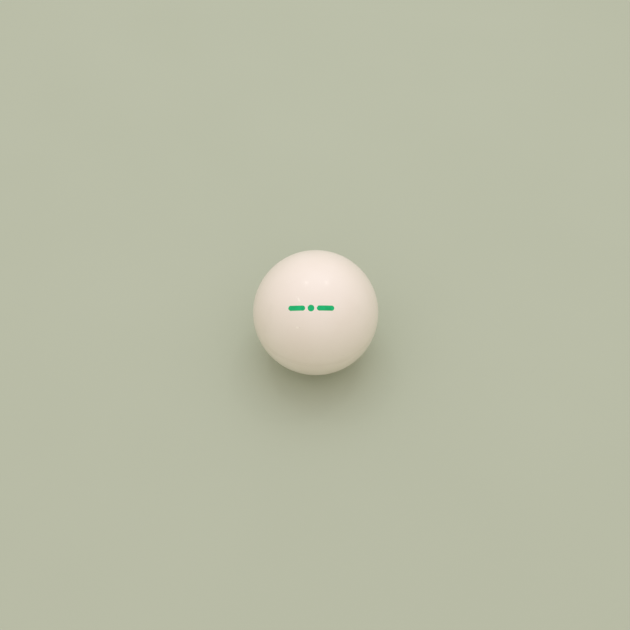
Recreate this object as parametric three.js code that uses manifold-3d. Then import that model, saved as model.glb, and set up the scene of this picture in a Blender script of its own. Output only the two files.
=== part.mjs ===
// Field hockey ball: a quilted core of cork and twine inside a seamless-looking
// moulded PVC cover.
//
// Millimetres, +Z up, origin at the centre of the ball.
// The cover is moulded as two cups that meet on the plane z = 0. The upper cup
// has a tongue that drops into a groove in the lower cup, and a bead of the same
// PVC fills the V left round the outside, ground flush with the sphere.
// Inside, from the centre outwards: a moulded cork pill, a twine winding, a
// layer of cork strips, a second winding, a second layer of strips, and the
// outer winding that the cover grips.

import * as THREE from "three";
import { mergeVertices } from "three/addons/utils/BufferGeometryUtils.js";
import Module from "manifold-3d";

// ---------------------------------------------------------------- dimensions
const BALL_R = 36.5; // 73.0 mm across, 229.3 mm round
const COVER_WALL = 5.2; // PVC wall thickness
const LAYER_GAP = 0.3; // clearance between neighbouring layers

const PILL_R = 15.0; // moulded cork centre, over its equatorial land
const PILL_LAND_H = 2.4; // height of that land
const PILL_LAND_T = 0.2; // how far it stands out of the sphere
const INNER_WIND = [15.3, 18.4]; // inside and outside radius of each winding
const INNER_CORK = [18.7, 20.6];
const MIDDLE_WIND = [20.9, 24.8];
const OUTER_CORK = [25.1, 27.0];
const OUTER_WIND = [27.3, 31.0];

const INNER_STRIPS = 6; // strips cut from sheet about 19 mm wide
const OUTER_STRIPS = 8;
const STRIP_GAP = 0.4; // between one strip and the next
const STRIP_TIP_LAT = 84; // degrees of latitude where a strip's tip is cut off

const LEAD_R = 1.0; // hole at a pole where the twine goes on to the next layer

const SEAM_GAP = 0.3; // between the faces of the two cups
const TONGUE_R = [32.7, 33.9]; // inside and outside radius of the tongue
const TONGUE_H = 1.8; // how far it reaches below the parting plane
const GROOVE_CLEAR = 0.3; // all round the tongue
const VEE_HALF_W = 1.4; // half width of the V at the outside
const VEE_LAND_R = 34.9; // radius where the V meets the flat of the seam
const BEAD_HALF_W = 1.05; // half width of the bead at the outside
const BEAD_ROOT_R = 35.35; // radius of the bead's blunt root
const BEAD_ROOT_HALF_W = 0.1;

// facets: every core layer shares one grid of latitude and longitude, so that
// the facets of neighbouring layers stay parallel
const CORE_LON = 24;
const CORE_LAT_STEP = 15; // degrees
const COVER_LON = 48;
const COVER_OUT_STEPS = 12;
const COVER_IN_STEPS = 10;

// ------------------------------------------------------------------ finishes
const PVC_WHITE = { color: 0xf3ebdc, roughness: 0.38, metalness: 0 };
const TWINE = { color: 0xd9c8a4, roughness: 0.95, metalness: 0 };
const CORK = { color: 0xb98a58, roughness: 0.9, metalness: 0 };
const CORK_DARK = { color: 0x9a6d43, roughness: 0.85, metalness: 0 };

// ------------------------------------------------------------------- helpers
const wasm = await Module();
wasm.setup();

const rad = THREE.MathUtils.degToRad;

// A point of a profile on the sphere of radius r at a latitude in degrees.
const onSphere = (r, lat) =>
  new THREE.Vector2(r * Math.cos(rad(lat)), r * Math.sin(rad(lat)));

// A point of a profile on the sphere of radius r at height z.
const atHeight = (r, z) => new THREE.Vector2(Math.sqrt(r * r - z * z), z);

// A profile turned about +Z. Profiles run so that the solid lies on their left.
function turned(points, segments) {
  return new THREE.LatheGeometry(points, segments).rotateX(Math.PI / 2);
}

// Latitudes of the core's grid from one latitude to another, both included.
function latitudes(from, to) {
  const up = to > from;
  const list = [from];
  const first = up
    ? Math.floor(from / CORE_LAT_STEP + 1 + 1e-9) * CORE_LAT_STEP
    : Math.ceil(from / CORE_LAT_STEP - 1 - 1e-9) * CORE_LAT_STEP;
  for (
    let a = first;
    up ? a < to - 1e-6 : a > to + 1e-6;
    a += up ? CORE_LAT_STEP : -CORE_LAT_STEP
  )
    list.push(a);
  list.push(to);
  return list;
}

function solidOf(geometry) {
  const g = geometry.clone();
  for (const name of Object.keys(g.attributes))
    if (name !== "position") g.deleteAttribute(name);
  const merged = mergeVertices(g, 1e-4);
  return new wasm.Manifold(
    new wasm.Mesh({
      numProp: 3,
      vertProperties: merged.attributes.position.array,
      triVerts: new Uint32Array(merged.index.array),
    }),
  );
}

function geometryOf(solid) {
  const mesh = solid.getMesh();
  const g = new THREE.BufferGeometry();
  g.setAttribute(
    "position",
    new THREE.BufferAttribute(new Float32Array(mesh.vertProperties), 3),
  );
  g.setIndex(new THREE.BufferAttribute(new Uint32Array(mesh.triVerts), 1));
  g.computeVertexNormals();
  return g;
}

const ball = new THREE.Group();
ball.name = "field_hockey_ball";

function addPiece(group, name, geometry, finish) {
  const mesh = new THREE.Mesh(geometry, new THREE.MeshStandardMaterial(finish));
  mesh.name = name;
  group.add(mesh);
  return mesh;
}

// ---------------------------------------------------------------- centre pill
// A compression-moulded cork ball with the flat land that its mould leaves
// round the middle.
function pillGeometry() {
  const r = PILL_R - PILL_LAND_T;
  const half = PILL_LAND_H / 2;
  const below = latitudes(-90, -CORE_LAT_STEP).map((a) =>
    a === -90 ? new THREE.Vector2(0, -r) : onSphere(r, a),
  );
  const above = below
    .slice()
    .reverse()
    .map((p) => new THREE.Vector2(p.x, -p.y));
  return turned(
    [
      ...below,
      atHeight(r, -half - PILL_LAND_T),
      new THREE.Vector2(PILL_R, -half),
      new THREE.Vector2(PILL_R, half),
      atHeight(r, half + PILL_LAND_T),
      ...above,
    ],
    CORE_LON,
  );
}

// ------------------------------------------------------------------- windings
// A hollow ball of twine with one small hole at a pole, where the strand that
// the layer starts from comes through.
function windingGeometry([inside, outside], holeUp) {
  const edge = (r) => (Math.acos(LEAD_R / r) * 180) / Math.PI;
  const outer = latitudes(-90, edge(outside)).map((a) =>
    a === -90 ? new THREE.Vector2(0, -outside) : onSphere(outside, a),
  );
  const inner = latitudes(edge(inside), -90).map((a) =>
    a === -90 ? new THREE.Vector2(0, -inside) : onSphere(inside, a),
  );
  const g = turned([...outer, ...inner], CORE_LON);
  return holeUp ? g : g.rotateX(Math.PI);
}

// ---------------------------------------------------------------- cork strips
// A belt of cork sheet that is open at both poles, cut into equal gores.
function stripGeometries([inside, outside], count) {
  const outer = latitudes(-STRIP_TIP_LAT, STRIP_TIP_LAT).map((a) =>
    onSphere(outside, a),
  );
  const inner = latitudes(STRIP_TIP_LAT, -STRIP_TIP_LAT).map((a) =>
    onSphere(inside, a),
  );
  const belt = solidOf(turned([...outer, ...inner, outer[0].clone()], CORE_LON));

  const half = Math.PI / count;
  const reach = (outside * 1.3) / Math.cos(half);
  const apex = STRIP_GAP / 2 / Math.sin(half);
  const strips = [];
  for (let i = 0; i < count; i++) {
    const mid = (2 * i + 1) * half;
    const sector = new THREE.Shape([
      new THREE.Vector2(apex * Math.cos(mid), apex * Math.sin(mid)),
      new THREE.Vector2(
        apex * Math.cos(mid) + reach * Math.cos(mid - half),
        apex * Math.sin(mid) + reach * Math.sin(mid - half),
      ),
      new THREE.Vector2(
        apex * Math.cos(mid) + reach * Math.cos(mid + half),
        apex * Math.sin(mid) + reach * Math.sin(mid + half),
      ),
    ]);
    const wedge = new THREE.ExtrudeGeometry(sector, {
      depth: 2 * outside + 2,
      bevelEnabled: false,
    }).translate(0, 0, -outside - 1);
    strips.push(geometryOf(belt.intersect(solidOf(wedge))));
  }
  return strips;
}

// ---------------------------------------------------------------------- cover
const CAVITY_R = OUTER_WIND[1] + LAYER_GAP;
const flat = SEAM_GAP / 2;

function coverArcs() {
  const startLat = (Math.asin(VEE_HALF_W / BALL_R) * 180) / Math.PI;
  const outer = [];
  for (let i = 0; i < COVER_OUT_STEPS; i++)
    outer.push(
      onSphere(BALL_R, startLat + ((90 - startLat) * i) / COVER_OUT_STEPS),
    );
  outer.push(new THREE.Vector2(0, BALL_R));
  const inner = [new THREE.Vector2(0, CAVITY_R)];
  for (let i = 1; i < COVER_IN_STEPS; i++)
    inner.push(onSphere(CAVITY_R, 90 - (90 * i) / COVER_IN_STEPS));
  return { outer, inner };
}

// The upper cup, with the tongue on its rim.
function upperCupGeometry() {
  const { outer, inner } = coverArcs();
  const rim = [
    atHeight(CAVITY_R, flat),
    new THREE.Vector2(TONGUE_R[0], flat),
    new THREE.Vector2(TONGUE_R[0], -TONGUE_H),
    new THREE.Vector2(TONGUE_R[1], -TONGUE_H),
    new THREE.Vector2(TONGUE_R[1], flat),
    new THREE.Vector2(VEE_LAND_R, flat),
  ];
  // from the pole down the inside, across the rim and back up the outside
  return turned([...inner, ...rim, ...outer], COVER_LON);
}

// The lower cup, with the groove in its rim.
function lowerCupGeometry() {
  const { outer, inner } = coverArcs();
  const below = (p) => new THREE.Vector2(p.x, -p.y);
  const r0 = TONGUE_R[0] - GROOVE_CLEAR;
  const r1 = TONGUE_R[1] + GROOVE_CLEAR;
  const floor = -TONGUE_H - GROOVE_CLEAR;
  const rim = [
    new THREE.Vector2(VEE_LAND_R, -flat),
    new THREE.Vector2(r1, -flat),
    new THREE.Vector2(r1, floor),
    new THREE.Vector2(r0, floor),
    new THREE.Vector2(r0, -flat),
    below(atHeight(CAVITY_R, flat)),
  ];
  return turned(
    [
      ...outer.map(below).reverse(),
      ...rim,
      ...inner.map(below).reverse(),
    ],
    COVER_LON,
  );
}

// The bead in the V of the seam, its outside ground to the ball's sphere.
function beadGeometry() {
  const low = atHeight(BALL_R, -BEAD_HALF_W);
  const high = atHeight(BALL_R, BEAD_HALF_W);
  const profile = [
    low,
    new THREE.Vector2(BALL_R, 0),
    high,
    new THREE.Vector2(BEAD_ROOT_R, BEAD_ROOT_HALF_W),
    new THREE.Vector2(BEAD_ROOT_R, -BEAD_ROOT_HALF_W),
    low.clone(),
  ];
  return turned(profile, COVER_LON);
}

// ------------------------------------------------------------------- assembly
const core = new THREE.Group();
core.name = "quilted_core";
ball.add(core);

addPiece(core, "cork_centre_pill", pillGeometry(), CORK_DARK);
addPiece(core, "twine_winding_inner", windingGeometry(INNER_WIND, true), TWINE);
stripGeometries(INNER_CORK, INNER_STRIPS).forEach((g, i) =>
  addPiece(core, `cork_strip_inner_${i + 1}`, g, CORK),
);
addPiece(core, "twine_winding_middle", windingGeometry(MIDDLE_WIND, false), TWINE);
stripGeometries(OUTER_CORK, OUTER_STRIPS).forEach((g, i) =>
  addPiece(core, `cork_strip_outer_${i + 1}`, g, CORK),
);
addPiece(core, "twine_winding_outer", windingGeometry(OUTER_WIND, true), TWINE);

const cover = new THREE.Group();
cover.name = "moulded_cover";
ball.add(cover);

addPiece(cover, "cover_half_upper", upperCupGeometry(), PVC_WHITE);
addPiece(cover, "cover_half_lower", lowerCupGeometry(), PVC_WHITE);
addPiece(cover, "seam_weld_bead", beadGeometry(), PVC_WHITE);

export default ball;
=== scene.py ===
import math

import bmesh
import bpy
import numpy as np
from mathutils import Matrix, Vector


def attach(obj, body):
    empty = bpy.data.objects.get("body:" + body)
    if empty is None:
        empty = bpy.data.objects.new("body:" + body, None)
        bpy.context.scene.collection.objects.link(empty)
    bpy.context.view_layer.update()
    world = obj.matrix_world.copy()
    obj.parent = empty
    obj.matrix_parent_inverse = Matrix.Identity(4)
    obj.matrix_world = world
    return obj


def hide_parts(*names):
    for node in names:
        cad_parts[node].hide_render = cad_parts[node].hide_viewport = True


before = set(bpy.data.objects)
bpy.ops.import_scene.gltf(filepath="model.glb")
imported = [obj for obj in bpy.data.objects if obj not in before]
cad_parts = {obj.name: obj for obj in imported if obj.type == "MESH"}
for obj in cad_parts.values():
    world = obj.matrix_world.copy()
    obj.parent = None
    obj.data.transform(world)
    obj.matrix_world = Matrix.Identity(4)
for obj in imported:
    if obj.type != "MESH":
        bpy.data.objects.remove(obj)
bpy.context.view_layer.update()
scene = bpy.context.scene

# ============================================================================
# Numbers. Lengths are in millimetres until a mesh is made, and metres after.
# ============================================================================
MM = 0.001
BALL_R = 36.5
COVER_IN_R = 31.3
BEAD_HALF = 1.05  # half height of the weld bead where it meets the surface
HAIRLINE = 0.016  # width of the line left on each side of the ground bead

PILL_R = 15.0  # over the land that the mould leaves round the middle
PILL_SPHERE_R = 14.8
PILL_LAND = 1.2  # half height of that land
INNER_WIND = (15.3, 18.4)  # inside and outside radius
INNER_CORK = (18.7, 20.6)
MIDDLE_WIND = (20.9, 24.8)
OUTER_CORK = (25.1, 27.0)
OUTER_WIND = (27.3, 31.0)
STRIP_GAP = 0.4
STRIP_TIP_LAT = 84.0
LEAD_R = 1.0  # hole at a pole of each winding, where its strand comes through

# the photograph's camera, in a 630 x 630 frame
PX = 630.0
FOCAL_PX = 800.0
ELEVATION = 53.5
CENTRE_PX = (315.71, 312.65)
RADIUS_PX = 62.62

# ============================================================================
# Camera
# ============================================================================
el = math.radians(ELEVATION)
dist = BALL_R / math.sin(math.atan(RADIUS_PX / FOCAL_PX))
view_dir = np.array([0.0, -math.cos(el), math.sin(el)])
right_dir = np.array([1.0, 0.0, 0.0])
up_dir = np.cross(view_dir, right_dir)
cam_at = dist * view_dir
aim = (
    -right_dir * (CENTRE_PX[0] - PX / 2) / FOCAL_PX * dist
    - up_dir * (PX / 2 - CENTRE_PX[1]) / FOCAL_PX * dist
)
cam_data = bpy.data.cameras.new("camera")
cam_data.sensor_fit = "HORIZONTAL"
cam_data.sensor_width = 36.0
cam_data.lens = 36.0 * FOCAL_PX / PX
cam_data.clip_start = 0.01
cam_data.clip_end = 50.0
cam = bpy.data.objects.new("camera", cam_data)
cam.location = Vector(cam_at * MM)
cam.rotation_mode = "QUATERNION"
cam.rotation_quaternion = Vector((aim - cam_at) * MM).to_track_quat("-Z", "Y")
scene.collection.objects.link(cam)
scene.camera = cam

CAM_FWD = (aim - cam_at) / np.linalg.norm(aim - cam_at)
CAM_RIGHT = np.cross(CAM_FWD, [0.0, 0.0, 1.0])
CAM_RIGHT /= np.linalg.norm(CAM_RIGHT)
CAM_UP = np.cross(CAM_RIGHT, CAM_FWD)


def on_ball(px, py):
    """The unit direction of the point of the ball that the photograph shows at a pixel."""
    ray = (
        CAM_FWD
        + CAM_RIGHT * (px - PX / 2) / FOCAL_PX
        + CAM_UP * (PX / 2 - py) / FOCAL_PX
    )
    ray /= np.linalg.norm(ray)
    b = float(cam_at @ ray)
    t = -b - math.sqrt(b * b - float(cam_at @ cam_at) + BALL_R**2)
    p = cam_at + t * ray
    return p / np.linalg.norm(p)


# ============================================================================
# Light: mostly a soft dome, one broad round lamp overhead and a little behind
# the ball, and two small lamps that give the two faint glints near the top
# ============================================================================
scene.view_settings.view_transform = "Standard"
scene.view_settings.look = "None"
scene.view_settings.exposure = 0.0
scene.view_settings.gamma = 1.0


def lamp(name, direction, distance, size, energy, colour):
    d = np.array(direction, float)
    d /= np.linalg.norm(d)
    data = bpy.data.lights.new(name, "AREA")
    data.shape = "DISK"
    data.size = size
    data.energy = energy
    data.color = colour
    o = bpy.data.objects.new(name, data)
    o.location = Vector(d * distance)
    o.rotation_mode = "QUATERNION"
    o.rotation_quaternion = Vector(-d).to_track_quat("-Z", "Y")
    scene.collection.objects.link(o)
    return o


lamp("key_lamp", (0.03, 0.36, 0.93), 1.10, 0.90, 1.60, (0.70, 0.88, 1.0))
lamp("small_lamp_left", (-0.251, 0.323, 0.913), 1.25, 0.050, 0.29, (1.0, 0.98, 0.95))
lamp("small_lamp_right", (0.285, 0.329, 0.900), 1.25, 0.050, 0.32, (1.0, 0.98, 0.95))

# the dome is bright overhead, a little warmer lower down, and fades at the
# horizon to the floor's own tone, so that the floor has no far edge
DOME = [
    (0.0, (0.367, 0.371, 0.278)),
    (0.34, (0.612, 0.568, 0.448)),
    (1.0, (0.940, 0.872, 0.952)),
]
world = bpy.data.worlds.new("soft_dome")
scene.world = world
world.use_nodes = True
wt = world.node_tree
wt.nodes.clear()
w_out = wt.nodes.new("ShaderNodeOutputWorld")
w_bg = wt.nodes.new("ShaderNodeBackground")
w_co = wt.nodes.new("ShaderNodeTexCoord")
w_sep = wt.nodes.new("ShaderNodeSeparateXYZ")
w_ramp = wt.nodes.new("ShaderNodeValToRGB")
wt.links.new(w_co.outputs["Generated"], w_sep.inputs[0])
wt.links.new(w_sep.outputs["Z"], w_ramp.inputs[0])
wt.links.new(w_ramp.outputs[0], w_bg.inputs["Color"])
wt.links.new(w_bg.outputs[0], w_out.inputs[0])
while len(w_ramp.color_ramp.elements) < len(DOME):
    w_ramp.color_ramp.elements.new(0.5)
for e, (at, colour) in zip(w_ramp.color_ramp.elements, DOME):
    e.position = at
    e.color = (*colour, 1.0)
w_bg.inputs["Strength"].default_value = 1.25


# ============================================================================
# Tools for meshes
# ============================================================================
def gradient_noise(seed):
    """A smooth, seeded noise in 3-D, from about -0.7 to 0.7, with cells of size 1."""
    rng = np.random.default_rng(seed)
    perm = np.concatenate([rng.permutation(256)] * 2)
    grad = rng.normal(size=(256, 3))
    grad /= np.linalg.norm(grad, axis=1)[:, None]

    def noise(p):
        p = np.asarray(p, float)
        i = np.floor(p).astype(np.int64)
        f = p - i
        u = f * f * f * (f * (f * 6 - 15) + 10)
        out = np.zeros(len(p))
        for dx in (0, 1):
            for dy in (0, 1):
                for dz in (0, 1):
                    h = perm[(i[:, 0] + dx) & 255]
                    h = perm[h + ((i[:, 1] + dy) & 255)]
                    h = perm[h + ((i[:, 2] + dz) & 255)]
                    w = (
                        (u[:, 0] if dx else 1 - u[:, 0])
                        * (u[:, 1] if dy else 1 - u[:, 1])
                        * (u[:, 2] if dz else 1 - u[:, 2])
                    )
                    out += w * np.einsum("ij,ij->i", grad[h], f - (dx, dy, dz))
        return out

    return noise


def unit(v):
    v = np.asarray(v, float)
    return v / np.linalg.norm(v, axis=-1, keepdims=True)


def tangents(n):
    """Two directions square to each unit direction and to each other."""
    ref = np.where(np.abs(n[:, 2:3]) < 0.9, [[0.0, 0.0, 1.0]], [[1.0, 0.0, 0.0]])
    a = unit(np.cross(ref, n))
    return a, np.cross(n, a)


def make_piece(name, co, faces, normals, uvs, **point):
    """A mesh object from vertices in mm, faces, one normal and one UV for each face corner, and named numbers for each vertex."""
    me = bpy.data.meshes.new(name)
    me.from_pydata((np.asarray(co) * MM).tolist(), [], [list(map(int, f)) for f in faces])
    for key, values in point.items():
        me.attributes.new(key, "FLOAT", "POINT").data.foreach_set(
            "value", np.asarray(values, np.float32)
        )
    layer = me.uv_layers.new(name="OFBake")
    layer.uv.foreach_set("vector", np.asarray(uvs, np.float32).ravel())
    me.polygons.foreach_set("use_smooth", np.ones(len(me.polygons), bool))
    me.normals_split_custom_set(unit(normals).tolist())
    me.update()
    o = bpy.data.objects.new(name, me)
    scene.collection.objects.link(o)
    return o


def square_grid(n):
    """A grid of 2n x 2n quads on a disc, with its rim evenly divided. Returns polar radius and angle, the quads, and the rim's vertices in order of angle."""
    k = np.arange(-n, n + 1) / n
    a, b = (x.ravel() for x in np.meshgrid(k, k, indexing="ij"))
    wide = np.abs(a) > np.abs(b)
    r = np.where(wide, a, b)
    safe_a, safe_b = np.where(a == 0, 1, a), np.where(b == 0, 1, b)
    phi = np.where(
        wide, np.pi / 4 * b / safe_a, np.pi / 2 - np.pi / 4 * np.where(b == 0, 0, a / safe_b)
    )
    x, y = r * np.cos(phi), r * np.sin(phi)
    m = 2 * n + 1
    i, j = (x.ravel() for x in np.meshgrid(np.arange(2 * n), np.arange(2 * n), indexing="ij"))
    v = i * m + j
    quads = np.stack([v, v + m, v + m + 1, v + 1], 1)
    rim = np.where(np.maximum(np.abs(a), np.abs(b)) > 1 - 1e-9)[0]
    x, y = r * np.cos(phi), r * np.sin(phi)
    ang = np.arctan2(y, x)
    ang = np.where(ang < -1e-9, ang + 2 * np.pi, np.maximum(ang, 0))
    return np.hypot(x, y), ang, quads, rim[np.argsort(ang[rim])]


def facing(co, quads, outward=True):
    """The quads, turned so that they all face away from the origin, or towards it."""
    p = co[quads]
    s = np.einsum(
        "ij,ij->i", np.cross(p[:, 2] - p[:, 0], p[:, 3] - p[:, 1]), p.mean(1)
    )
    wrong = (s < 0) if outward else (s > 0)
    out = quads.copy()
    out[wrong] = out[wrong][:, ::-1]
    return out


def cube_sphere(m):
    """An even grid of quads over a whole sphere: unit directions, quads that face out, and a UV for each corner (six squares on one sheet)."""
    t = np.tan(np.linspace(-1, 1, m + 1) * np.pi / 4)
    sides = [
        ((1, 0, 0), (0, 1, 0), (0, 0, 1)),
        ((-1, 0, 0), (0, -1, 0), (0, 0, 1)),
        ((0, 1, 0), (-1, 0, 0), (0, 0, 1)),
        ((0, -1, 0), (1, 0, 0), (0, 0, 1)),
        ((0, 0, 1), (1, 0, 0), (0, 1, 0)),
        ((0, 0, -1), (-1, 0, 0), (0, 1, 0)),
    ]
    i, j = (x.ravel() for x in np.meshgrid(np.arange(m), np.arange(m), indexing="ij"))
    gi, gj = (x.ravel() for x in np.meshgrid(np.arange(m + 1), np.arange(m + 1), indexing="ij"))
    v = i * (m + 1) + j
    corner = [(0, 0), (1, 0), (1, 1), (0, 1)]
    quad = np.stack([v, v + m + 1, v + m + 2, v + 1], 1)
    all_p, all_q, all_uv = [], [], []
    for s, (w, a, b) in enumerate(sides):
        w, a, b = (np.array(x, float) for x in (w, a, b))
        all_p.append(w + np.outer(t[gi], a) + np.outer(t[gj], b))
        all_q.append(quad + s * (m + 1) ** 2)
        ox, oy = (s % 3) / 3 + 0.006, (s // 3) / 2 + 0.006
        sx, sy = 1 / 3 - 0.012, 0.5 - 0.012
        all_uv.append(
            np.stack(
                [
                    np.stack([ox + sx * (i + di) / m, oy + sy * (j + dj) / m], 1)
                    for di, dj in corner
                ],
                1,
            )
        )
    p, q, uv = np.concatenate(all_p), np.concatenate(all_q), np.concatenate(all_uv)
    _, first, back = np.unique(np.round(p, 7), axis=0, return_index=True, return_inverse=True)
    dirs, q = unit(p[first]), back.ravel()[q]
    c = dirs[q]
    wrong = np.einsum("ij,ij->i", np.cross(c[:, 2] - c[:, 0], c[:, 3] - c[:, 1]), c.mean(1)) < 0
    q[wrong], uv[wrong] = q[wrong][:, ::-1], uv[wrong][:, ::-1]
    return dirs, q, uv.reshape(-1, 2)


def smooth_normals(co, quads):
    """Vertex normals of a quad mesh."""
    p = co[quads]
    fn = np.cross(p[:, 2] - p[:, 0], p[:, 3] - p[:, 1])
    out = np.zeros_like(co)
    for k in range(4):
        np.add.at(out, quads[:, k], fn)
    return unit(out)


# ============================================================================
# The cover's surface: a sphere with the slight waviness that moulding and
# grinding leave, and the small nicks and grazes of use
# ============================================================================
wave_noise = gradient_noise(11)


class Mark:
    """A nick or a graze: a small hollow, long in one direction, with a raised lip along its sides."""

    def __init__(self, at, along, half_len, half_w, depth, lip, dirt, scuff, pale=0.55):
        self.n = unit(at)
        self.a = unit(along - self.n * float(np.dot(along, self.n)))
        self.b = np.cross(self.n, self.a)
        self.half_len, self.half_w = half_len, half_w
        self.depth, self.lip, self.dirt, self.scuff = depth, lip, dirt, scuff
        self.pale = pale  # how scuffed the hollow is, against its lip

    def reach(self):
        return 1.15 * self.half_len + 2.6 * self.half_w

    def height(self, n):
        near = n @ self.n > math.cos(1.5 * self.reach() / BALL_R)
        x, y = (n @ self.a) * BALL_R, (n @ self.b) * BALL_R
        y = y + 0.3 * self.half_w * np.sin(2.6 * x / max(self.half_len, 0.3) + 0.7)
        end = np.clip((np.abs(x) - 0.5 * self.half_len) / (0.65 * self.half_len), 0, 1)
        end = 1 - end * end * (3 - 2 * end)
        w = self.half_w
        pit = np.exp(-((y / w) ** 2)) * end
        lip = np.exp(-(((y - 1.5 * w) / (0.6 * w)) ** 2)) * end
        low = np.exp(-(((y + 1.5 * w) / (0.6 * w)) ** 2)) * end
        h = -self.depth * pit + self.lip * (lip + 0.4 * low)
        return [np.where(near, v, 0.0) for v in (h, pit, lip)]


def in_picture(angle):
    """A direction at an angle from the picture's right, turning up."""
    a = math.radians(angle)
    return CAM_RIGHT * math.cos(a) + CAM_UP * math.sin(a)


MARKS = [
    Mark(on_ball(298.7, 299.7), in_picture(-56), 1.30, 0.23, 0.050, 0.050, 0.0, 1.0, 1.0),
    Mark(on_ball(296.2, 296.9), in_picture(-48), 0.45, 0.20, 0.025, 0.025, 0.0, 0.5, 1.0),
    Mark(on_ball(297.7, 327.7), in_picture(85), 0.52, 0.42, -0.050, 0.020, 0.0, 1.0, 1.0),
    Mark(on_ball(299.5, 327.6), in_picture(80), 0.36, 0.20, 0.060, 0.020, 0.20, 0.1, 0.0),
]
# a few marks of the same kind on the sides that the photograph doesn't show
rng = np.random.default_rng(4)
while len(MARKS) < 18:
    d = unit(rng.normal(size=3))
    along = unit(rng.normal(size=3))
    size = rng.uniform(size=4)
    graze = rng.random() < 0.5
    if abs(d[2]) * BALL_R < 6 or d @ view_dir > 0.25:
        continue
    if min(np.linalg.norm(d - m.n) for m in MARKS) * BALL_R < 10:
        continue
    if graze:
        m = Mark(d, along, 0.7 + 0.9 * size[0], 0.14 + 0.06 * size[1],
                 0.030 + 0.025 * size[2], 0.02 + 0.02 * size[3], 0.1, 0.4 + 0.4 * size[1])
    else:
        m = Mark(d, along, 0.25 + 0.25 * size[0], 0.20 + 0.10 * size[1],
                 0.050 + 0.040 * size[2], 0.02 + 0.03 * size[3], 0.2 + 0.4 * size[1], 0.3)
    MARKS.append(m)


def surface(n):
    """Height over the sphere in mm, and how dirty and how scuffed it is, at unit directions."""
    h = 0.010 * wave_noise(n * BALL_R / 13.0) + 0.004 * wave_noise(n * BALL_R / 6.1 + 7.3) - 0.006
    dirt, scuff = np.zeros(len(n)), np.zeros(len(n))
    for m in MARKS:
        dh, pit, lip = m.height(n)
        h = h + dh
        dirt = np.maximum(dirt, m.dirt * pit)
        scuff = np.maximum(scuff, m.scuff * np.maximum(m.pale * pit, lip))
    return h, dirt, scuff


def surface_normal(n):
    """The normal of that surface, from its slopes."""
    a, b = tangents(n)
    step = 0.03
    ha = surface(unit(n + a * step / BALL_R))[0] - surface(unit(n - a * step / BALL_R))[0]
    hb = surface(unit(n + b * step / BALL_R))[0] - surface(unit(n - b * step / BALL_R))[0]
    return unit(n - a * (ha / (2 * step))[:, None] - b * (hb / (2 * step))[:, None])


CUP_N = 48  # a cup's rim has 8 times as many vertices
GROUND_Z = BEAD_HALF + HAIRLINE


def cup_skin(sign):
    """The outer skin of a cup as unit directions and faces, finer round each mark. The rim's vertices come first, in order of angle."""
    rho, ang, quads, _ = square_grid(CUP_N)
    theta = rho * math.acos(GROUND_Z / BALL_R)
    dirs = np.stack(
        [np.sin(theta) * np.cos(ang), np.sin(theta) * np.sin(ang), sign * np.cos(theta)], 1
    )
    quads = facing(dirs, quads)
    bm = bmesh.new()
    verts = [bm.verts.new(d) for d in dirs]
    for q in quads:
        bm.faces.new([verts[int(i)] for i in q])
    here = [m for m in MARKS if m.n[2] * sign > 0]
    for more in (1.7, 1.2, 0.7):
        near = set()
        for f in bm.faces:
            c = f.calc_center_median().normalized()
            for m in here:
                if c.x * m.n[0] + c.y * m.n[1] + c.z * m.n[2] > math.cos(
                    (m.reach() + more) / BALL_R
                ):
                    near.update(f.edges)
                    break
        bmesh.ops.subdivide_edges(bm, edges=list(near), cuts=1, use_grid_fill=True)
        for v in bm.verts:
            v.co.normalize()
    bmesh.ops.triangulate(bm, faces=[f for f in bm.faces if len(f.verts) > 4])
    edge = [v for v in bm.verts if v.is_boundary]
    edge.sort(key=lambda v: math.atan2(v.co.y, v.co.x) % (2 * math.pi - 1e-6))
    for i, v in enumerate(edge + [v for v in bm.verts if not v.is_boundary]):
        v.index = i
    out = np.zeros((len(bm.verts), 3))
    for v in bm.verts:
        out[v.index] = v.co
    faces = [tuple(v.index for v in f.verts) for f in bm.faces]
    bm.free()
    return unit(out), faces, len(edge)


def flat_dome(dirs, sign, centre, radius):
    """UVs of a dome laid flat, its pole in the middle."""
    theta = np.arccos(np.clip(dirs[:, 2] * sign, -1, 1))
    ang = np.arctan2(dirs[:, 1], dirs[:, 0])
    r = radius * theta / (math.pi / 2)
    return np.stack([centre[0] + sign * r * np.cos(ang), centre[1] + r * np.sin(ang)], 1)


def band(ring_a, ring_b, at_a, at_b, ang, v0, v1, turn):
    """Quads between two rings, with flat normals across and round ones about. at_a and at_b are (radius, height)."""
    nr, nz = at_b[1] - at_a[1], at_a[0] - at_b[0]
    if turn:
        nr, nz = -nr, -nz
    faces, normals, uvs = [], [], []
    count = len(ang)
    for i in range(count):
        j = (i + 1) % count
        u0, u1 = 0.01 + 0.98 * i / count, 0.01 + 0.98 * (i + 1) / count
        corners = [
            (ring_a[i], ang[i], u0, v0),
            (ring_a[j], ang[j], u1, v0),
            (ring_b[j], ang[j], u1, v1),
            (ring_b[i], ang[i], u0, v1),
        ]
        if turn:
            corners.reverse()
        faces.append([c[0] for c in corners])
        normals += [(nr * math.cos(c[1]), nr * math.sin(c[1]), nz) for c in corners]
        uvs += [(c[2], c[3]) for c in corners]
    return faces, normals, uvs


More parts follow.
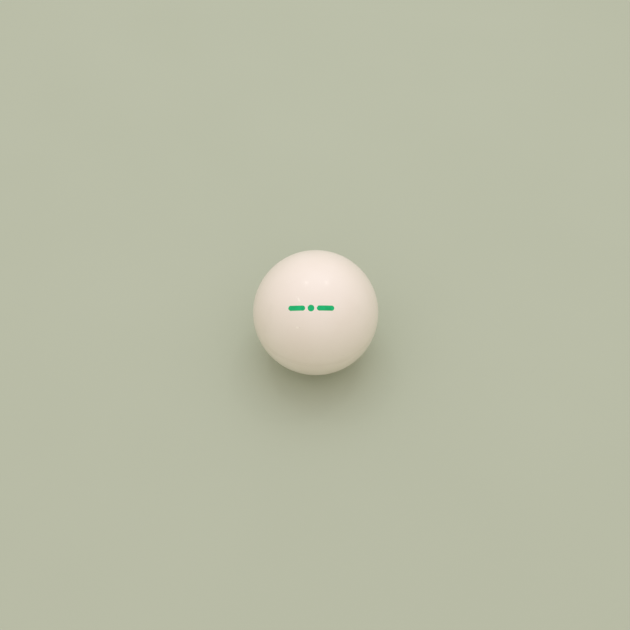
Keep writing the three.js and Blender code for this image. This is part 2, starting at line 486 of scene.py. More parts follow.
def make_cup(name, sign, rim_profile):
    """One cup of the cover: its skin, its rim with half of the tongue joint, and its smooth inside. rim_profile runs from the skin's edge to the inside's edge."""
    skin, faces, count = cup_skin(sign)
    h, dirt, scuff = surface(skin)
    skin_co = skin * (BALL_R + h)[:, None]
    skin_n = surface_normal(skin)
    ang = np.arctan2(skin[:count, 1], skin[:count, 0])

    rho, in_ang, quads, rim = square_grid(CUP_N)
    theta = rho * math.acos(abs(rim_profile[-1][1]) / COVER_IN_R)
    inner = np.stack(
        [np.sin(theta) * np.cos(in_ang), np.sin(theta) * np.sin(in_ang), sign * np.cos(theta)], 1
    )
    quads = facing(inner, quads, outward=False)

    co, rings = [skin_co], [np.arange(count)]
    at = [(float(np.hypot(*skin_co[0, :2])), float(skin_co[0, 2]))]
    base = len(skin_co)
    for r, z in rim_profile[:-1]:
        rings.append(np.arange(base, base + count))
        co.append(np.stack([r * np.cos(ang), r * np.sin(ang), np.full(count, z)], 1))
        at.append((r, z))
        base += count
    rings.append(base + rim)
    at.append(rim_profile[-1])
    co.append(inner * COVER_IN_R)

    faces = list(faces)
    uv = flat_dome(skin, sign, (0.385, 0.605), 0.378)
    normals = [skin_n[i] for f in faces for i in f]
    uvs = [uv[i] for f in faces for i in f]
    for k in range(len(rings) - 1):
        v0 = 0.012 + 0.15 * k / (len(rings) - 1)
        v1 = v0 + 0.12 / (len(rings) - 1)
        f, n, u = band(rings[k], rings[k + 1], at[k], at[k + 1], ang, v0, v1, sign > 0)
        faces, normals, uvs = faces + f, normals + n, uvs + u
    uv = flat_dome(inner, sign, (0.885, 0.30), 0.105)
    for q in quads:
        faces.append(base + q)
        normals += [-inner[i] for i in q]
        uvs += [uv[i] for i in q]
    co = np.concatenate(co)
    rest = np.zeros(len(co) - len(skin_co))
    return make_piece(
        name, co, faces, normals, uvs,
        dirt=np.concatenate([dirt, rest]), scuff=np.concatenate([scuff, rest]),
    )


def rim(sign, groove):
    """The rim of a cup from outside to inside: the side of the V, the flat, the tongue or its groove, and the flat again."""
    gap = 0.02
    r0, r1, tip = (32.66, 33.94, -1.84) if groove else (32.70, 33.90, -1.80)
    return [
        (BALL_R - 0.045, sign * (GROUND_Z - 0.02)),
        (34.90, sign * gap),
        (r1, sign * gap),
        (r1, tip),
        (r0, tip),
        (r0, sign * gap),
        (math.sqrt(COVER_IN_R**2 - gap**2), sign * gap),
    ]


def make_bead(name):
    """The weld bead: a ring with its outside ground to the sphere and its root in the V of the seam."""
    count = 8 * CUP_N
    ang = np.arange(count) * 2 * np.pi / count
    arc = [(math.sqrt(BALL_R**2 - t * t), t) for t in np.linspace(-BEAD_HALF, BEAD_HALF, 7)]
    at = arc + [(BALL_R - 0.045, BEAD_HALF - 0.015), (35.0, 0.06), (35.0, -0.06), (BALL_R - 0.045, 0.015 - BEAD_HALF)]
    co = np.concatenate(
        [np.stack([r * np.cos(ang), r * np.sin(ang), np.full(count, z)], 1) for r, z in at]
    )
    skin = len(arc) * count
    dirs = unit(co[:skin])
    co[:skin] = dirs * (BALL_R + surface(dirs)[0])[:, None]
    skin_n = surface_normal(dirs)
    rings = [np.arange(k * count, (k + 1) * count) for k in range(len(at))]
    faces, normals, uvs = [], [], []
    for k in range(len(at)):
        j = (k + 1) % len(at)
        v0 = 0.02 + 0.96 * k / len(at)
        f, n, u = band(rings[k], rings[j], at[k], at[j], ang, v0, v0 + 0.86 / len(at), False)
        if k < len(arc) - 1:
            n = [skin_n[i] for q in f for i in q]
        faces, normals, uvs = faces + f, normals + n, uvs + u
    zero = np.zeros(len(co))
    return make_piece(name, co, faces, normals, uvs, dirt=zero, scuff=zero)


cover_upper = make_cup("cover_upper", 1, rim(1, False))
cover_lower = make_cup("cover_lower", -1, rim(-1, True))
weld_bead = make_bead("weld_bead")


# ============================================================================
# The printed mark: a thin film of ink, two short bars with a dot between them
# ============================================================================
PRINT_AT = on_ball(311.0, 308.0)
PRINT_RIGHT = unit(CAM_RIGHT - PRINT_AT * float(CAM_RIGHT @ PRINT_AT))
PRINT_UP = np.cross(PRINT_AT, PRINT_RIGHT)
INK_TOP, INK_FOOT = 0.022, -0.010  # film height over the cover, and how far its foot goes in
edge_noise = gradient_noise(31)


def lay_on_ball(x, y, height):
    """Points of a flat drawing, in mm from its middle, laid on the cover."""
    ax, ay = x / BALL_R, y / BALL_R
    d = unit(
        np.outer(np.cos(ax) * np.cos(ay), PRINT_AT)
        + np.outer(np.sin(ax) * np.cos(ay), PRINT_RIGHT)
        + np.outer(np.sin(ay), PRINT_UP)
    )
    return d * (BALL_R + surface(d)[0] + height)[:, None], d


def make_ink(name, mid_x, half_len, half_w, rows=12):
    """A round-ended patch of ink: its top, thinner towards the edge, a steep edge, and a foot in the cover."""
    flat = half_len - half_w
    ends = np.linspace(0, math.pi / 2, 15)[1:]
    right = flat + half_w * np.sin(ends)
    body = np.linspace(-flat, flat, max(3, int(4 * flat) | 1)) if flat > 1e-6 else np.zeros(1)
    xs = np.concatenate([-right[::-1], body, right])
    over = np.maximum(np.abs(xs) - flat, 0)
    ys = np.sqrt(np.maximum(half_w**2 - over**2, 0))
    spread = np.sin(np.linspace(-1, 1, rows + 1) * math.pi / 2)
    cols = []  # vertex numbers of each column; an end is one vertex
    x, y, inner = [], [], []
    for k, (cx, cy) in enumerate(zip(xs, ys)):
        tip = k in (0, len(xs) - 1)
        ids = []
        for s in [0.0] if tip else spread:
            ids.append(len(x))
            x.append(cx)
            y.append(cy * s)
            inner.append(half_w - math.hypot(max(abs(cx) - flat, 0), cy * s))
        cols.append(ids)
    x, y, inner = np.array(x), np.array(y), np.maximum(np.array(inner), 0)
    wob = edge_noise(np.stack([x * 2.4 + mid_x * 7.7, y * 2.4, np.full(len(x), 3.3)], 1))
    near_edge = np.exp(-inner / 0.15)
    grow = 1 + 0.05 * wob * near_edge / max(half_w, 0.5)
    x, y = x * grow + mid_x, y * grow
    top_h = INK_TOP * (1 - 0.45 * np.exp(-inner / 0.10)) + 0.002 * wob
    faces = []
    for a, b in zip(cols[:-1], cols[1:]):
        if len(a) == 1:
            faces += [(a[0], b[i], b[i + 1]) for i in range(len(b) - 1)]
        elif len(b) == 1:
            faces += [(a[i + 1], a[i], b[0]) for i in range(len(a) - 1)]
        else:
            faces += [(a[i], b[i], b[i + 1], a[i + 1]) for i in range(len(a) - 1)]
    n = len(x)
    top, dirs = lay_on_ball(x, y, top_h)
    foot, _ = lay_on_ball(x, y, np.full(n, INK_FOOT))
    loop = (
        [c[0] for c in cols[:-1]]
        + [cols[-1][0]]
        + [c[-1] for c in cols[-2:0:-1]]
    )
    mid = unit(lay_on_ball(np.array([mid_x]), np.array([0.0]), np.zeros(1))[0])[0]
    p = top[list(faces[len(faces) // 2])]
    if np.dot(np.cross(p[1] - p[0], p[2] - p[0]), mid) < 0:
        faces = [f[::-1] for f in faces]
    all_faces, normals, uvs = [], [], []
    sheet = np.stack([0.25 + (x - mid_x) / (4.4 * half_len), 0.5 + y / (4.4 * half_len)], 1)
    for f in faces:
        all_faces.append(f)
        normals += [dirs[i] for i in f]
        uvs += [sheet[i] for i in f]
    for f in faces:
        g = f[::-1]
        all_faces.append([n + i for i in g])
        normals += [-dirs[i] for i in g]
        uvs += [sheet[i] + (0.5, 0) for i in g]
    for k in range(len(loop)):
        a, b = loop[k], loop[(k + 1) % len(loop)]
        q = [a, n + a, n + b, b]
        pts = np.concatenate([top, foot])[q]
        out = np.cross(pts[2] - pts[0], pts[3] - pts[1])
        if np.dot(out, pts.mean(0) - mid * BALL_R) < 0:
            q, out = q[::-1], -out
        all_faces.append(q)
        normals += [out] * 4
        u0, u1 = 0.02 + 0.96 * k / len(loop), 0.02 + 0.96 * (k + 1) / len(loop)
        uvs += [(u0 if i % n == a else u1, 0.02 if i < n else 0.05) for i in q]
    co = np.concatenate([top, foot])
    return make_piece(name, co, all_faces, normals, uvs)


ink_pieces = [
    make_ink("print_bar_left", -7.95, 4.75, 1.40),
    make_ink("print_dot", 0.0, 1.80, 1.80),
    make_ink("print_bar_right", 7.95, 4.75, 1.40),
]


# ============================================================================
# The core: twine windings, cork strips and the cork centre
# ============================================================================
def open_pole(dirs, quads, m, k, sign):
    """Which quads of a cube sphere stay when a square of 2k x 2k of them is left out round a pole, and the vertices round that square in order of angle."""
    z = dirs[:, 2] * sign
    top = z > 0.5
    ring = np.full(len(dirs), 10**6)
    ring[top] = np.rint(
        np.arctan(np.abs(dirs[top, :2]).max(1) / z[top]) / (np.pi / 4) * m / 2
    ).astype(int)
    edge = np.where(ring == k)[0]
    turn = np.round(np.arctan2(dirs[edge, 1], dirs[edge, 0]), 6) % (2 * np.pi)
    return ring[quads].max(1) > k, edge[np.argsort(turn)]


def make_winding(name, r_in, r_out, m, seed, yarn, bundles, sign):
    """A ball of twine: bundles of wraps laid side by side, each bundle over the ones before it, a smooth inside, and the small hole at a pole where its strand comes through."""
    dirs, quads, uvs = cube_sphere(m)
    pick = np.random.default_rng(seed)
    stray = gradient_noise(seed + 1)
    half_w, half_h = yarn * 0.52, 0.30 * yarn
    top = np.full(len(dirs), -4.5 * half_h)
    tint = np.full(len(dirs), 0.5)
    twist = np.zeros(len(dirs))  # turn of the plies, in radians
    for g, level in enumerate(np.linspace(-3.0, 0, bundles)):
        pole = unit(pick.normal(size=3))
        (start,), (quarter,) = tangents(pole[None])
        turn = np.arctan2(dirs @ quarter, dirs @ start)
        wraps = int(pick.integers(8, 13))
        shade = pick.uniform(size=wraps)
        lift = pick.uniform(-0.12, 0.12, size=wraps)
        bend = 0.9 * stray(dirs * 1.6 + 3.7 * g)
        off = np.arcsin(np.clip(dirs @ pole, -1, 1)) * r_out + bend
        laid = np.full(len(dirs), -np.inf)  # this bundle alone
        hue, ply = np.zeros(len(dirs)), np.zeros(len(dirs))
        for w in range(wraps):
            aside = (w - (wraps - 1) / 2) * yarn
            plies = round(2 * np.pi * r_out * math.cos(aside / r_out) / (0.8 * yarn))
            s = off - aside
            h = (level + lift[w]) * half_h + half_h * (
                0.5 + 0.5 * np.cos(np.pi * np.clip(s / half_w, -1, 1))
            )
            up = (np.abs(s) < half_w) & (h > laid)
            laid[up] = h[up]
            hue[up] = shade[w]
            ply[up] = plies * turn[up] + 2.6 * s[up] / half_w + 6.0 * shade[w]
        over = laid > -np.inf
        top[over], tint[over], twist[over] = laid[over], hue[over], ply[over]
    # how far each point lies below the highest strand, which the twine's material turns into painted shade: darker in
    # the low places between and under the strands
    crease = np.clip((top.max() - top) / (4.0 * half_h), 0, 1)
    co = dirs * (r_out + (top - top.max()) * 0.75)[:, None]
    i_dirs, i_quads, i_uvs = cube_sphere(20)
    i_co = i_dirs * r_in

    def to_hole(points, edge):
        turn = np.arange(len(edge)) * 2 * np.pi / len(edge)
        r = np.linalg.norm(points[edge], axis=1)
        points[edge] = np.stack(
            [LEAD_R * np.cos(turn), LEAD_R * np.sin(turn), sign * np.sqrt(r**2 - LEAD_R**2)], 1
        )

    stay, edge = open_pole(dirs, quads, m, 2, sign)
    quads, uvs = quads[stay], uvs.reshape(-1, 4, 2)[stay].reshape(-1, 2)
    to_hole(co, edge)
    i_stay, i_edge = open_pole(i_dirs, i_quads, 20, 1, sign)
    i_quads = i_quads[i_stay][:, ::-1]
    i_uvs = i_uvs.reshape(-1, 4, 2)[i_stay][:, ::-1].reshape(-1, 2)
    to_hole(i_co, i_edge)
    base = len(co)
    both = np.concatenate([co, i_co])
    count = len(i_edge)  # the outer edge has twice as many vertices
    wall, wall_uv = [], []
    for j in range(count):
        o = [edge[(2 * j + d) % (2 * count)] for d in range(3)]
        i0, i1 = base + i_edge[j], base + i_edge[(j + 1) % count]
        at = {o[0]: (j, 1), o[1]: (j + 0.5, 1), o[2]: (j + 1, 1), i0: (j, 0), i1: (j + 1, 0)}
        for tri in ((o[0], o[1], i0), (o[1], i1, i0), (o[1], o[2], i1)):
            p = both[list(tri)]
            if np.cross(p[1] - p[0], p[2] - p[0])[:2] @ p.mean(0)[:2] > 0:
                tri = tri[::-1]
            wall.append(tri)
            wall_uv += [(0.3 + 0.6 * at[v][0] / count, 0.92 + 0.05 * at[v][1]) for v in tri]
    wall_n = -both[np.array(wall).ravel()] * (1, 1, 0)
    n = smooth_normals(co, quads)
    faces = list(quads) + list(i_quads + base) + wall
    used = np.unique(np.concatenate([quads.ravel(), i_quads.ravel() + base, np.array(wall).ravel()]))
    number = np.zeros(len(both), int)
    number[used] = np.arange(len(used))
    return make_piece(
        name,
        both[used],
        [number[list(f)] for f in faces],
        np.concatenate([n[quads.ravel()], -i_dirs[i_quads.ravel()], wall_n]),
        np.concatenate([uvs * (1, 0.9), i_uvs * (0.2, 0.08) + (0.01, 0.91), np.array(wall_uv)]),
        tint=np.concatenate([tint, np.full(len(i_dirs), 0.5)])[used],
        # the inside is given a fixed, middling amount of that painted shade
        crease=np.concatenate([crease, np.full(len(i_dirs), 0.6)])[used],
        ply_a=np.concatenate([np.cos(twist), np.ones(len(i_dirs))])[used],
        ply_b=np.concatenate([np.sin(twist), np.zeros(len(i_dirs))])[used],
    )


grain = gradient_noise(51)


def make_strip(name, r_in, r_out, count, index, across=14, along=64):
    """A gore of cork sheet with soft edges and a grainy face, bent to the ball."""
    half = math.pi / count
    mid = (2 * index + 1) * half
    lat = np.radians(np.linspace(-STRIP_TIP_LAT, STRIP_TIP_LAT, along + 1))
    s = np.sin(np.linspace(-1, 1, across + 1) * math.pi / 2 * 0.94) / math.sin(math.pi / 2 * 0.94)
    ll, ss = (v.ravel() for v in np.meshgrid(lat, s, indexing="ij"))
    r_mid = (r_in + r_out) / 2
    width = half - np.arcsin(np.minimum(STRIP_GAP / 2 / (r_mid * np.cos(ll)), 0.9))
    lon = mid + ss * width
    d = np.stack([np.cos(ll) * np.cos(lon), np.cos(ll) * np.sin(lon), np.sin(ll)], 1)
    # distance to the nearest edge, for the soft edge
    side = (1 - np.abs(ss)) * width * r_mid * np.cos(ll)
    tip = (np.radians(STRIP_TIP_LAT) - np.abs(ll)) * r_mid
    soft = 0.22 * np.exp(-np.minimum(side, tip) / 0.25)
    rough = 0.05 * grain(d * r_out / 0.9 + index) + 0.06 * grain(d * r_out / 2.3 + 5 + index) - 0.07
    out = d * (r_out - soft + rough)[:, None]
    inn = d * (r_in + soft + 0.03 - 0.4 * rough)[:, None]
    m = across + 1
    i, j = (v.ravel() for v in np.meshgrid(np.arange(along), np.arange(across), indexing="ij"))
    v = i * m + j
    quads = facing(d, np.stack([v, v + m, v + m + 1, v + 1], 1))
    n_out = smooth_normals(out, quads)
    n_in = smooth_normals(inn, quads[:, ::-1])
    base = len(out)
    faces = list(quads) + list(quads[:, ::-1] + base)
    normals = [n_out[quads.ravel()], n_in[quads[:, ::-1].ravel()]]
    flat = np.stack([0.27 + 0.22 * ss * np.cos(ll), 0.5 + 0.47 * ll / np.radians(STRIP_TIP_LAT)], 1)
    uvs = [flat[quads.ravel()], flat[quads[:, ::-1].ravel()] + (0.46, 0)]
    loop = (
        [k for k in range(m)]
        + [k * m + across for k in range(1, along + 1)]
        + [along * m + k for k in range(across - 1, -1, -1)]
        + [k * m for k in range(along - 1, 0, -1)]
    )
    both = np.concatenate([out, inn])
    centre = both.mean(0)
    wall, wall_uv, wall_n = [], [], []
    for k in range(len(loop)):
        a, b = loop[k], loop[(k + 1) % len(loop)]
        q = [a, base + a, base + b, b]
        p = both[q]
        out_n = np.cross(p[2] - p[0], p[3] - p[1])
        if np.dot(out_n, p.mean(0) - centre) < 0:
            q, out_n = q[::-1], -out_n
        wall.append(q)
        wall_n += [out_n] * 4
        v0, v1 = 0.02 + 0.96 * k / len(loop), 0.02 + 0.96 * (k + 1) / len(loop)
        wall_uv += [(0.012 if x < base else 0.032, v0 if x % base == a else v1) for x in q]
    return make_piece(
        name, both, faces + wall,
        np.concatenate(normals + [np.array(wall_n)]),
        np.concatenate(uvs + [np.array(wall_uv)]),
    )


def make_pill(name):
    """The cork centre: a moulded ball with a flat land round its middle and a grainy face."""
    dirs, quads, uvs = cube_sphere(44)
    flat = np.hypot(dirs[:, 0], dirs[:, 1])
    r = np.full(len(dirs), PILL_SPHERE_R)
    land = PILL_R / np.maximum(flat, 1e-6)
    z = np.abs(dirs[:, 2]) * land
    edge = np.clip((PILL_LAND + 0.25 - z) / 0.35, 0, 1)
    edge = edge * edge * (3 - 2 * edge)
    r = r + (np.minimum(land, PILL_R + 0.06) - PILL_SPHERE_R) * edge
    r = r + 0.05 * grain(dirs * 15 / 0.8) + 0.05 * grain(dirs * 15 / 2.0 + 9) - 0.06
    co = dirs * r[:, None]
    n = smooth_normals(co, quads)
    return make_piece(name, co, list(quads), n[quads.ravel()], uvs)


winding_outer = make_winding("winding_outer", *OUTER_WIND, 112, 61, 2.2, 15, 1)
winding_middle = make_winding("winding_middle", *MIDDLE_WIND, 90, 63, 2.2, 13, -1)
winding_inner = make_winding("winding_inner", *INNER_WIND, 68, 65, 2.1, 12, 1)
strips_outer = [make_strip(f"cork_gore_outer_{k + 1}", *OUTER_CORK, 8, k) for k in range(8)]
strips_inner = [make_strip(f"cork_gore_inner_{k + 1}", *INNER_CORK, 6, k) for k in range(6)]
cork_pill = make_pill("cork_pill")


# ============================================================================
# Materials
# ============================================================================
class Nodes:
    """A short way to build a node material."""

    def __init__(self, name):
        self.mat = bpy.data.materials.new(name)
        self.mat.use_nodes = True
        self.tree = self.mat.node_tree
        self.tree.nodes.clear()
        self.out = self.new("ShaderNodeOutputMaterial")
        self.bsdf = self.new("ShaderNodeBsdfPrincipled")
        self.link(self.bsdf.outputs[0], self.out.inputs["Surface"])
        self.place = self.new("ShaderNodeTexCoord").outputs["Object"]

    def new(self, kind, **sets):
        n = self.tree.nodes.new(kind)
        for k, v in sets.items():
            setattr(n, k, v)
        return n

    def link(self, a, b):
        self.tree.links.new(a, b)

    def turned(self, scale=(1, 1, 1), rotation=(0, 0, 0), shift=(0, 0, 0)):
        m = self.new("ShaderNodeMapping")
        m.inputs["Scale"].default_value = scale
        m.inputs["Rotation"].default_value = rotation
        m.inputs["Location"].default_value = shift
        self.link(self.place, m.inputs["Vector"])
        return m.outputs[0]

    def noise(self, scale, detail=2.0, rough=0.5, at=None, distort=0.0):
        n = self.new("ShaderNodeTexNoise")
        n.inputs["Scale"].default_value = scale
        n.inputs["Detail"].default_value = detail
        n.inputs["Roughness"].default_value = rough
        n.inputs["Distortion"].default_value = distort
        self.link(at or self.place, n.inputs["Vector"])
        return n.outputs["Fac"]

    def voronoi(self, scale, feature="F1", out="Distance", at=None, random=1.0):
        n = self.new("ShaderNodeTexVoronoi", feature=feature)
        n.inputs["Scale"].default_value = scale
        n.inputs["Randomness"].default_value = random
        self.link(at or self.place, n.inputs["Vector"])
        return n.outputs[out]

    def range(self, value, a, b, to_a=0.0, to_b=1.0, smooth=True):
        n = self.new("ShaderNodeMapRange")
        n.interpolation_type = "SMOOTHSTEP" if smooth else "LINEAR"
        n.inputs["From Min"].default_value = a
        n.inputs["From Max"].default_value = b
        n.inputs["To Min"].default_value = to_a
        n.inputs["To Max"].default_value = to_b
        self.link(value, n.inputs["Value"])
        return n.outputs[0]

    def math(self, op, a, b=None):
        n = self.new("ShaderNodeMath", operation=op)
        for socket, v in zip(n.inputs, (a, b)):
            if v is None:
                continue
            if isinstance(v, (int, float)):
                socket.default_value = v
            else:
                self.link(v, socket)
        return n.outputs[0]

    def mix(self, fac, a, b, blend="MIX"):
        n = self.new("ShaderNodeMix", data_type="RGBA", blend_type=blend)
        for socket, v in ((n.inputs[0], fac), (n.inputs[6], a), (n.inputs[7], b)):
            if isinstance(v, (int, float)):
                socket.default_value = v
            elif isinstance(v, tuple):
                socket.default_value = (*v, 1.0)
            else:
                self.link(v, socket)
        return n.outputs[2]

    def number(self, name):
        return self.new("ShaderNodeAttribute", attribute_name=name).outputs["Fac"]

    def bump(self, height, distance, strength=1.0, after=None):
        n = self.new("ShaderNodeBump")
        n.inputs["Strength"].default_value = strength
        n.inputs["Distance"].default_value = distance
        self.link(height, n.inputs["Height"])
        if after is not None:
            self.link(after, n.inputs["Normal"])
        return n.outputs[0]

    def set(self, **values):
        for k, v in values.items():
            socket = self.bsdf.inputs[k.replace("_", " ")]
            if hasattr(v, "is_linked"):
                self.link(v, socket)
            else:
                socket.default_value = v


def hairlines(m, turn, shift, scale):
    """Fine straight scratches in one direction, in patches."""
    at = m.turned(scale=(0.035, 1, 1), rotation=turn, shift=shift)
    lines = m.range(m.noise(scale, 1.0, 0.5, at), 0.66, 0.72)
    patch = m.range(m.noise(62.0, 1.0, 0.5, m.turned(shift=shift)), 0.53, 0.68)
    return m.math("MULTIPLY", lines, patch)


def pvc_material():
    m = Nodes("moulded_pvc")
    dirt, scuff = m.number("dirt"), m.number("scuff")
    # colour: warm white with a faint cloudiness, a little grime and a few specks
    cloud = m.noise(34.0, 3.0, 0.55)
    colour = m.mix(m.range(cloud, 0.32, 0.68), (0.872, 0.788, 0.704), (0.892, 0.814, 0.735))
    mottle = m.noise(260.0, 2.0, 0.5)
    colour = m.mix(m.range(mottle, 0.45, 0.75, 0.0, 0.05), colour, (0.80, 0.715, 0.60))
    grime = m.range(m.noise(58.0, 4.0, 0.6, m.turned(shift=(3.1, 1.7, 0.4))), 0.56, 0.80, 0.0, 0.07)
    colour = m.mix(grime, colour, (0.46, 0.47, 0.36))
    cells = m.new("ShaderNodeTexVoronoi", feature="F1")
    cells.inputs["Scale"].default_value = 190.0
    m.link(m.place, cells.inputs["Vector"])
    pick = m.new("ShaderNodeSeparateColor")
    m.link(cells.outputs["Color"], pick.inputs[0])
    chosen = m.range(pick.outputs[0], 0.86, 0.865)
    size = m.range(pick.outputs[1], 0.0, 1.0, 0.014, 0.034, smooth=False)
    dot = m.math("LESS_THAN", cells.outputs["Distance"], size)
    speck = m.math("MULTIPLY", m.math("MULTIPLY", dot, chosen), 0.42)
    colour = m.mix(speck, colour, (0.30, 0.24, 0.15))
    # the seam: a band that grinding leaves with fine lines round the ball, and
    # a little dirt, here more and there less, in the hairlines beside the bead
    height = m.new("ShaderNodeSeparateXYZ")
    m.link(m.place, height.inputs[0])
    level = m.math("ABSOLUTE", height.outputs["Z"])
    stray = m.math("MULTIPLY", m.noise(140.0, 2.0, 0.5), 0.0012)
    ground = m.range(m.math("ADD", level, stray), 0.0016, 0.0027, 1.0, 0.0)
    streak = m.range(m.noise(2600.0, 2.0, 0.5, m.turned(scale=(0.02, 0.02, 1.0))), 0.38, 0.64)
    streak = m.math("MULTIPLY", ground, streak)
    colour = m.mix(m.math("MULTIPLY", ground, 0.05), colour, (0.62, 0.54, 0.43))
    colour = m.mix(m.math("MULTIPLY", streak, 0.07), colour, (0.62, 0.54, 0.43))
    line = m.math("ABSOLUTE", m.math("SUBTRACT", level, (BEAD_HALF + HAIRLINE / 2) * MM))
    line = m.range(line, 0.00002, 0.00008, 1.0, 0.0)
    held = m.range(m.noise(80.0, 3.0, 0.6, m.turned(shift=(1.3, 2.2, 0.6))), 0.42, 0.68, 0.0, 0.40)
    colour = m.mix(m.math("MULTIPLY", line, held), colour, (0.34, 0.27, 0.18))
    # use: scuffed plastic is paler, and hollows hold dirt
    colour = m.mix(m.math("MULTIPLY", scuff, 0.90), colour, (0.99, 0.925, 0.825))
    colour = m.mix(m.math("MULTIPLY", dirt, 0.8), colour, (0.30, 0.20, 0.13))
    # gloss
    s1 = hairlines(m, (0.3, 0.9, 0.5), (0.1, 0.0, 0.0), 1500.0)
    s2 = hairlines(m, (1.4, -0.5, 2.1), (0.5, 0.2, 0.0), 1300.0)
    lines = m.math("MAXIMUM", m.math("MAXIMUM", s1, s2), m.math("MULTIPLY", streak, 0.7))
    rough = m.range(m.noise(48.0, 3.0, 0.5, m.turned(shift=(0.7, 0.3, 2.0))), 0.3, 0.7, 0.36, 0.45)
    rough = m.math("ADD", rough, m.math("MULTIPLY", lines, 0.14))
    rough = m.math("ADD", rough, m.math("MULTIPLY", scuff, 0.22))
    peel = m.noise(820.0, 1.0, 0.4)
    normal = m.bump(peel, 0.0000045)
    normal = m.bump(m.math("SUBTRACT", 1.0, lines), 0.000004, 1.0, normal)
    m.set(
        Base_Color=colour, Roughness=rough, Normal=normal,
        IOR=1.5, Specular_IOR_Level=0.5, Coat_Weight=0.34, Coat_Roughness=0.14, Coat_IOR=1.45,
    )
    return m.mat


def ink_material():
    m = Nodes("green_ink")
    tone = m.range(m.noise(420.0, 3.0, 0.6), 0.3, 0.7)
    colour = m.mix(tone, (0.002, 0.425, 0.140), (0.004, 0.520, 0.185))
    hole = m.math("LESS_THAN", m.voronoi(2600.0), 0.10)
    thin = m.math("MULTIPLY", hole, m.range(m.noise(900.0, 2.0), 0.52, 0.66, 0.0, 0.55))
    colour = m.mix(thin, colour, (0.72, 0.72, 0.60))
    rough = m.range(m.noise(700.0, 2.0), 0.3, 0.7, 0.40, 0.56)
    m.set(
        Base_Color=colour, Roughness=rough,
        Normal=m.bump(m.noise(1800.0, 2.0), 0.000006), IOR=1.48, Specular_IOR_Level=0.25,
    )
    return m.mat


def twine_material():
    m = Nodes("wound_twine")
    tint, crease = m.number("tint"), m.number("crease")
    colour = m.mix(tint, (0.60, 0.47, 0.28), (0.78, 0.69, 0.50))
    fibre = m.noise(1900.0, 4.0, 0.7, distort=0.8)
    colour = m.mix(m.range(fibre, 0.40, 0.72, 0.0, 0.35), colour, (0.50, 0.38, 0.22))
    # the plies of the twisted strand, from the cosine and sine of their turn
    a, b = m.number("ply_a"), m.number("ply_b")
    size = m.math("SQRT", m.math("ADD", m.math("MULTIPLY", a, a), m.math("MULTIPLY", b, b)))
    ply = m.math("DIVIDE", a, m.math("MAXIMUM", size, 0.05))
    # painted shade: the grooves between the plies are darkened towards brown; the plies' relief itself comes from the
    # bump below
    colour = m.mix(m.range(ply, -1.0, -0.1, 0.38, 0.0), colour, (0.36, 0.26, 0.14))
    # painted shade: the low places between and under the strands, and the inside, darkened towards deep brown by how
    # far they lie below the top
    colour = m.mix(m.range(crease, 0.30, 0.85, 0.0, 0.80), colour, (0.17, 0.11, 0.06))
    relief = m.math("ADD", m.math("MULTIPLY", fibre, 0.6), m.math("MULTIPLY", ply, 0.5))
    m.set(
        Base_Color=colour, Roughness=0.95, Normal=m.bump(relief, 0.00014),
        Sheen_Weight=0.15, Specular_IOR_Level=0.2,
    )
    return m.mat


def cork_material(name, pale, brown, dark, scale, dark_share, rubber):
    """Pressed cork: granules of many tones with thin lines of binder between them, and black rubber among them in the moulded centre."""
    m = Nodes(name)
    wob = m.new("ShaderNodeTexNoise")
    wob.inputs["Scale"].default_value = scale * 0.8
    wob.inputs["Detail"].default_value = 3.0
    m.link(m.place, wob.inputs["Vector"])
    small = m.new("ShaderNodeVectorMath", operation="SCALE")
    small.inputs["Scale"].default_value = 0.9 / scale
    m.link(wob.outputs["Color"], small.inputs[0])
    bent = m.new("ShaderNodeVectorMath", operation="ADD")
    m.link(m.place, bent.inputs[0])
    m.link(small.outputs[0], bent.inputs[1])
    cells = m.new("ShaderNodeTexVoronoi", feature="F1")
    cells.inputs["Scale"].default_value = scale
    m.link(bent.outputs[0], cells.inputs["Vector"])
    pick = m.new("ShaderNodeSeparateColor")
    m.link(cells.outputs["Color"], pick.inputs[0])
    colour = m.mix(m.math("POWER", pick.outputs[0], 1.6), pale, brown)
    colour = m.mix(m.range(pick.outputs[1], 1.0 - dark_share, 1.02 - dark_share, 0.0, 0.75), colour, dark)
    if rubber:
        colour = m.mix(m.range(pick.outputs[2], 0.80, 0.81, 0.0, 0.92), colour, (0.030, 0.027, 0.025))
    edge = m.voronoi(scale, "DISTANCE_TO_EDGE", at=bent.outputs[0])
    seam = m.range(edge, 0.0, 0.07, 1.0, 0.0)
    colour = m.mix(m.math("MULTIPLY", seam, 0.32), colour, dark)
    fine = m.noise(scale * 5, 4.0, 0.7)
    colour = m.mix(m.range(fine, 0.48, 0.74, 0.0, 0.45), colour, brown)
    pore = m.range(m.noise(scale * 2.4, 2.0, 0.5, m.turned(shift=(0.4, 0.2, 0.1))), 0.66, 0.72, 0.0, 0.7)
    colour = m.mix(pore, colour, dark)
    height = m.math("SUBTRACT", m.math("MULTIPLY", fine, 0.6), m.math("MULTIPLY", m.math("MAXIMUM", seam, pore), 0.6))
    m.set(
        Base_Color=colour, Roughness=0.88, Normal=m.bump(height, 0.00012),
        Specular_IOR_Level=0.25,
    )
    return m.mat


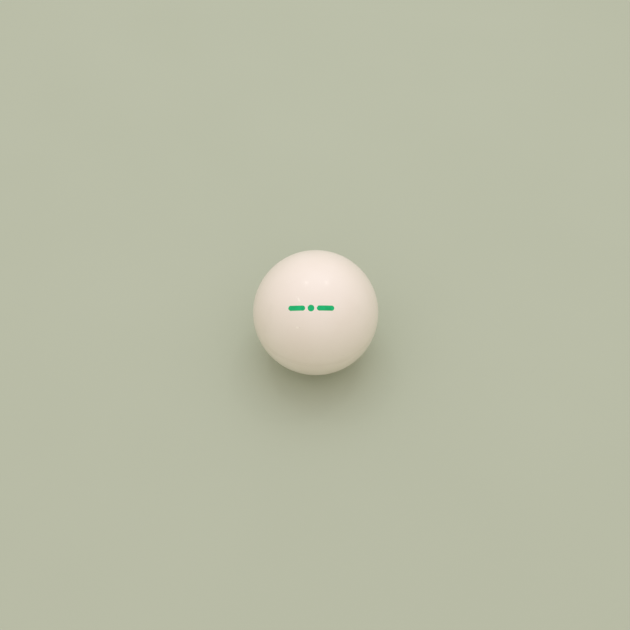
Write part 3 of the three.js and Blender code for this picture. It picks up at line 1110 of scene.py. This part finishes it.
PVC = pvc_material()
INK = ink_material()
TWINE = twine_material()
SHEET_CORK = cork_material(
    "sheet_cork", (0.56, 0.345, 0.165), (0.40, 0.215, 0.09), (0.15, 0.07, 0.03), 830.0, 0.07, False
)
PILL_CORK = cork_material(
    "pill_cork", (0.43, 0.24, 0.11), (0.28, 0.135, 0.055), (0.09, 0.045, 0.02), 760.0, 0.10, True
)


def finish_piece(o, material, slot, *nodes):
    o.data.materials.append(material)
    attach(o, "root")
    if nodes:
        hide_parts(*nodes)


finish_piece(cover_upper, PVC, "cover_pvc", "cover_half_upper")
finish_piece(cover_lower, PVC, "cover_pvc", "cover_half_lower")
finish_piece(weld_bead, PVC, "cover_pvc", "seam_weld_bead")
for o in ink_pieces:
    finish_piece(o, INK, "print_ink")
finish_piece(winding_outer, TWINE, "twine", "twine_winding_outer")
finish_piece(winding_middle, TWINE, "twine", "twine_winding_middle")
finish_piece(winding_inner, TWINE, "twine", "twine_winding_inner")
for k, o in enumerate(strips_outer):
    finish_piece(o, SHEET_CORK, "sheet_cork", f"cork_strip_outer_{k + 1}")
for k, o in enumerate(strips_inner):
    finish_piece(o, SHEET_CORK, "sheet_cork", f"cork_strip_inner_{k + 1}")
finish_piece(cork_pill, PILL_CORK, "pill_cork", "cork_centre_pill")

# ============================================================================
# The stage: a plain pale floor
# ============================================================================
def make_stage():
    floor_z = -BALL_R * MM
    rings = (0.05, 0.15, 0.4, 1.0, 2.5, 6.0, 15.0)
    count = 96
    co, faces = [(0, 0, floor_z)], []
    for r in rings:
        for k in range(count):
            a = 2 * math.pi * k / count
            co.append((r * math.cos(a), r * math.sin(a), floor_z))
    for k in range(count):
        faces.append((0, 1 + k, 1 + (k + 1) % count))
    for row in range(len(rings) - 1):
        for k in range(count):
            a, b = 1 + row * count + k, 1 + row * count + (k + 1) % count
            faces.append((a, a + count, b + count, b))
    me = bpy.data.meshes.new("floor")
    me.from_pydata(co, [], faces)
    o = bpy.data.objects.new("floor", me)
    scene.collection.objects.link(o)
    m = Nodes("pale_floor")
    m.set(
        Base_Color=m.mix(m.noise(9.0, 2.0), (0.445, 0.485, 0.37), (0.465, 0.505, 0.39)),
        Roughness=0.85, Specular_IOR_Level=0.2,
    )
    me.materials.append(m.mat)
    return o


make_stage()
